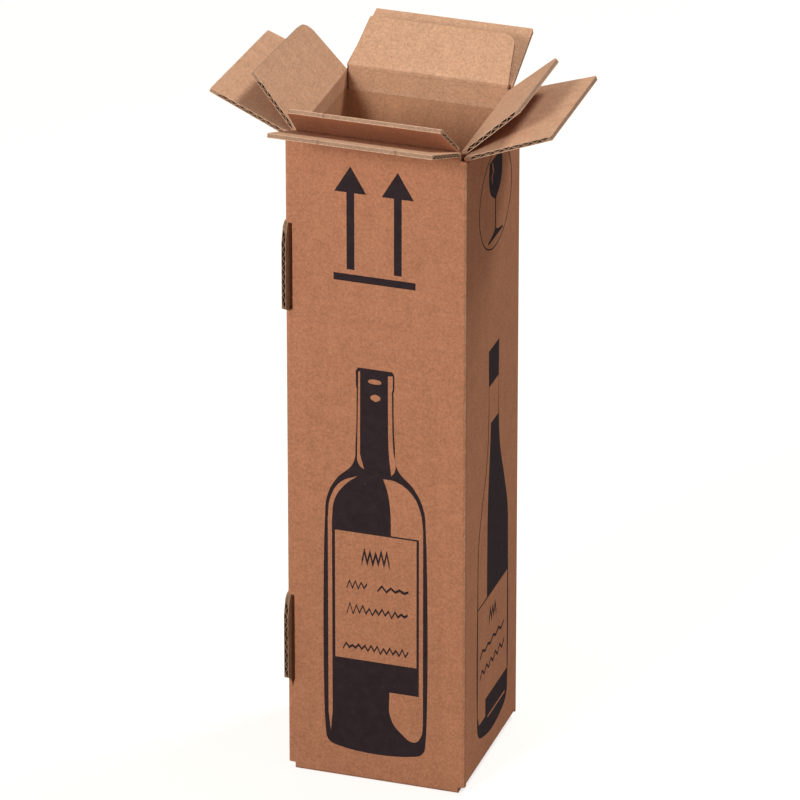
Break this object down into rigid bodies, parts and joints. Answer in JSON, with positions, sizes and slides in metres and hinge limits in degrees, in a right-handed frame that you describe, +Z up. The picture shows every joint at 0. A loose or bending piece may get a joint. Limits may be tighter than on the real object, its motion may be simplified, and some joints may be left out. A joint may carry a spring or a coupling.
{
  "type": "bottle shipping box",
  "caption": "Tall double-walled corrugated carton for one bottle, standing open with outer and inner top flaps folded out.",
  "frame": {"origin": "centre of the carton's footprint on the surface that it stands on", "axes": "+Z up out of the open top, -Y towards the front panel, +X towards the right panel"},
  "size_m": [0.2213, 0.2096, 0.4799],
  "materials": {
    "kraft_outer": "matte kraft paper",
    "kraft_inner": "matte kraft paper"
  },
  "bodies": {
    "carton": {"outer_carton": "kraft_outer", "inner_liner": "kraft_inner"},
    "outer_flap_front": {"outer_flap_front": "kraft_outer"},
    "inner_strip_front": {"inner_strip_front": "kraft_inner"},
    "inner_flap_front": {"inner_flap_front": "kraft_inner"},
    "outer_flap_right": {"outer_flap_right": "kraft_outer"},
    "inner_strip_right": {"inner_strip_right": "kraft_inner"},
    "inner_flap_right": {"inner_flap_right": "kraft_inner"},
    "outer_flap_back": {"outer_flap_back": "kraft_outer"},
    "inner_strip_back": {"inner_strip_back": "kraft_inner"},
    "inner_flap_back": {"inner_flap_back": "kraft_inner"},
    "outer_flap_left": {"outer_flap_left": "kraft_outer"},
    "inner_strip_left": {"inner_strip_left": "kraft_inner"},
    "inner_flap_left": {"inner_flap_left": "kraft_inner"}
  },
  "joints": [
    {"name": "outer_fold_front", "type": "hinge", "parent": "carton", "child": "outer_flap_front", "pos_m": [0, -0.05405, 0.4463], "axis": [-1, 0, 0], "range_deg": [-36, 16]},
    {"name": "inner_fold_front", "type": "hinge", "parent": "carton", "child": "inner_strip_front", "pos_m": [0, -0.05085, 0.4331], "axis": [-1, 0, 0], "range_deg": [0, 90]},
    {"name": "inner_bend_front", "type": "hinge", "parent": "inner_strip_front", "child": "inner_flap_front", "pos_m": [0, -0.05085, 0.448], "axis": [-1, 0, 0], "range_deg": [-10, 48.5]},
    {"name": "outer_fold_right", "type": "hinge", "parent": "carton", "child": "outer_flap_right", "pos_m": [0.05755, 0, 0.4432], "axis": [0, -1, 0], "range_deg": [-35, 17]},
    {"name": "inner_fold_right", "type": "hinge", "parent": "carton", "child": "inner_strip_right", "pos_m": [0.05435, 0, 0.4362], "axis": [0, -1, 0], "range_deg": [0, 90]},
    {"name": "inner_bend_right", "type": "hinge", "parent": "inner_strip_right", "child": "inner_flap_right", "pos_m": [0.05435, 0, 0.4449], "axis": [0, -1, 0], "range_deg": [-10, 48]},
    {"name": "outer_fold_back", "type": "hinge", "parent": "carton", "child": "outer_flap_back", "pos_m": [0, 0.05405, 0.4463], "axis": [1, 0, 0], "range_deg": [-33, 15]},
    {"name": "inner_fold_back", "type": "hinge", "parent": "carton", "child": "inner_strip_back", "pos_m": [0, 0.05085, 0.4331], "axis": [1, 0, 0], "range_deg": [0, 90]},
    {"name": "inner_bend_back", "type": "hinge", "parent": "inner_strip_back", "child": "inner_flap_back", "pos_m": [0, 0.05085, 0.448], "axis": [1, 0, 0], "range_deg": [-5, 53]},
    {"name": "outer_fold_left", "type": "hinge", "parent": "carton", "child": "outer_flap_left", "pos_m": [-0.05755, 0, 0.4432], "axis": [0, 1, 0], "range_deg": [-38, 23]},
    {"name": "inner_fold_left", "type": "hinge", "parent": "carton", "child": "inner_strip_left", "pos_m": [-0.05435, 0, 0.4362], "axis": [0, 1, 0], "range_deg": [0, 90]},
    {"name": "inner_bend_left", "type": "hinge", "parent": "inner_strip_left", "child": "inner_flap_left", "pos_m": [-0.05435, 0, 0.4449], "axis": [0, 1, 0], "range_deg": [-16, 40]}
  ]
}
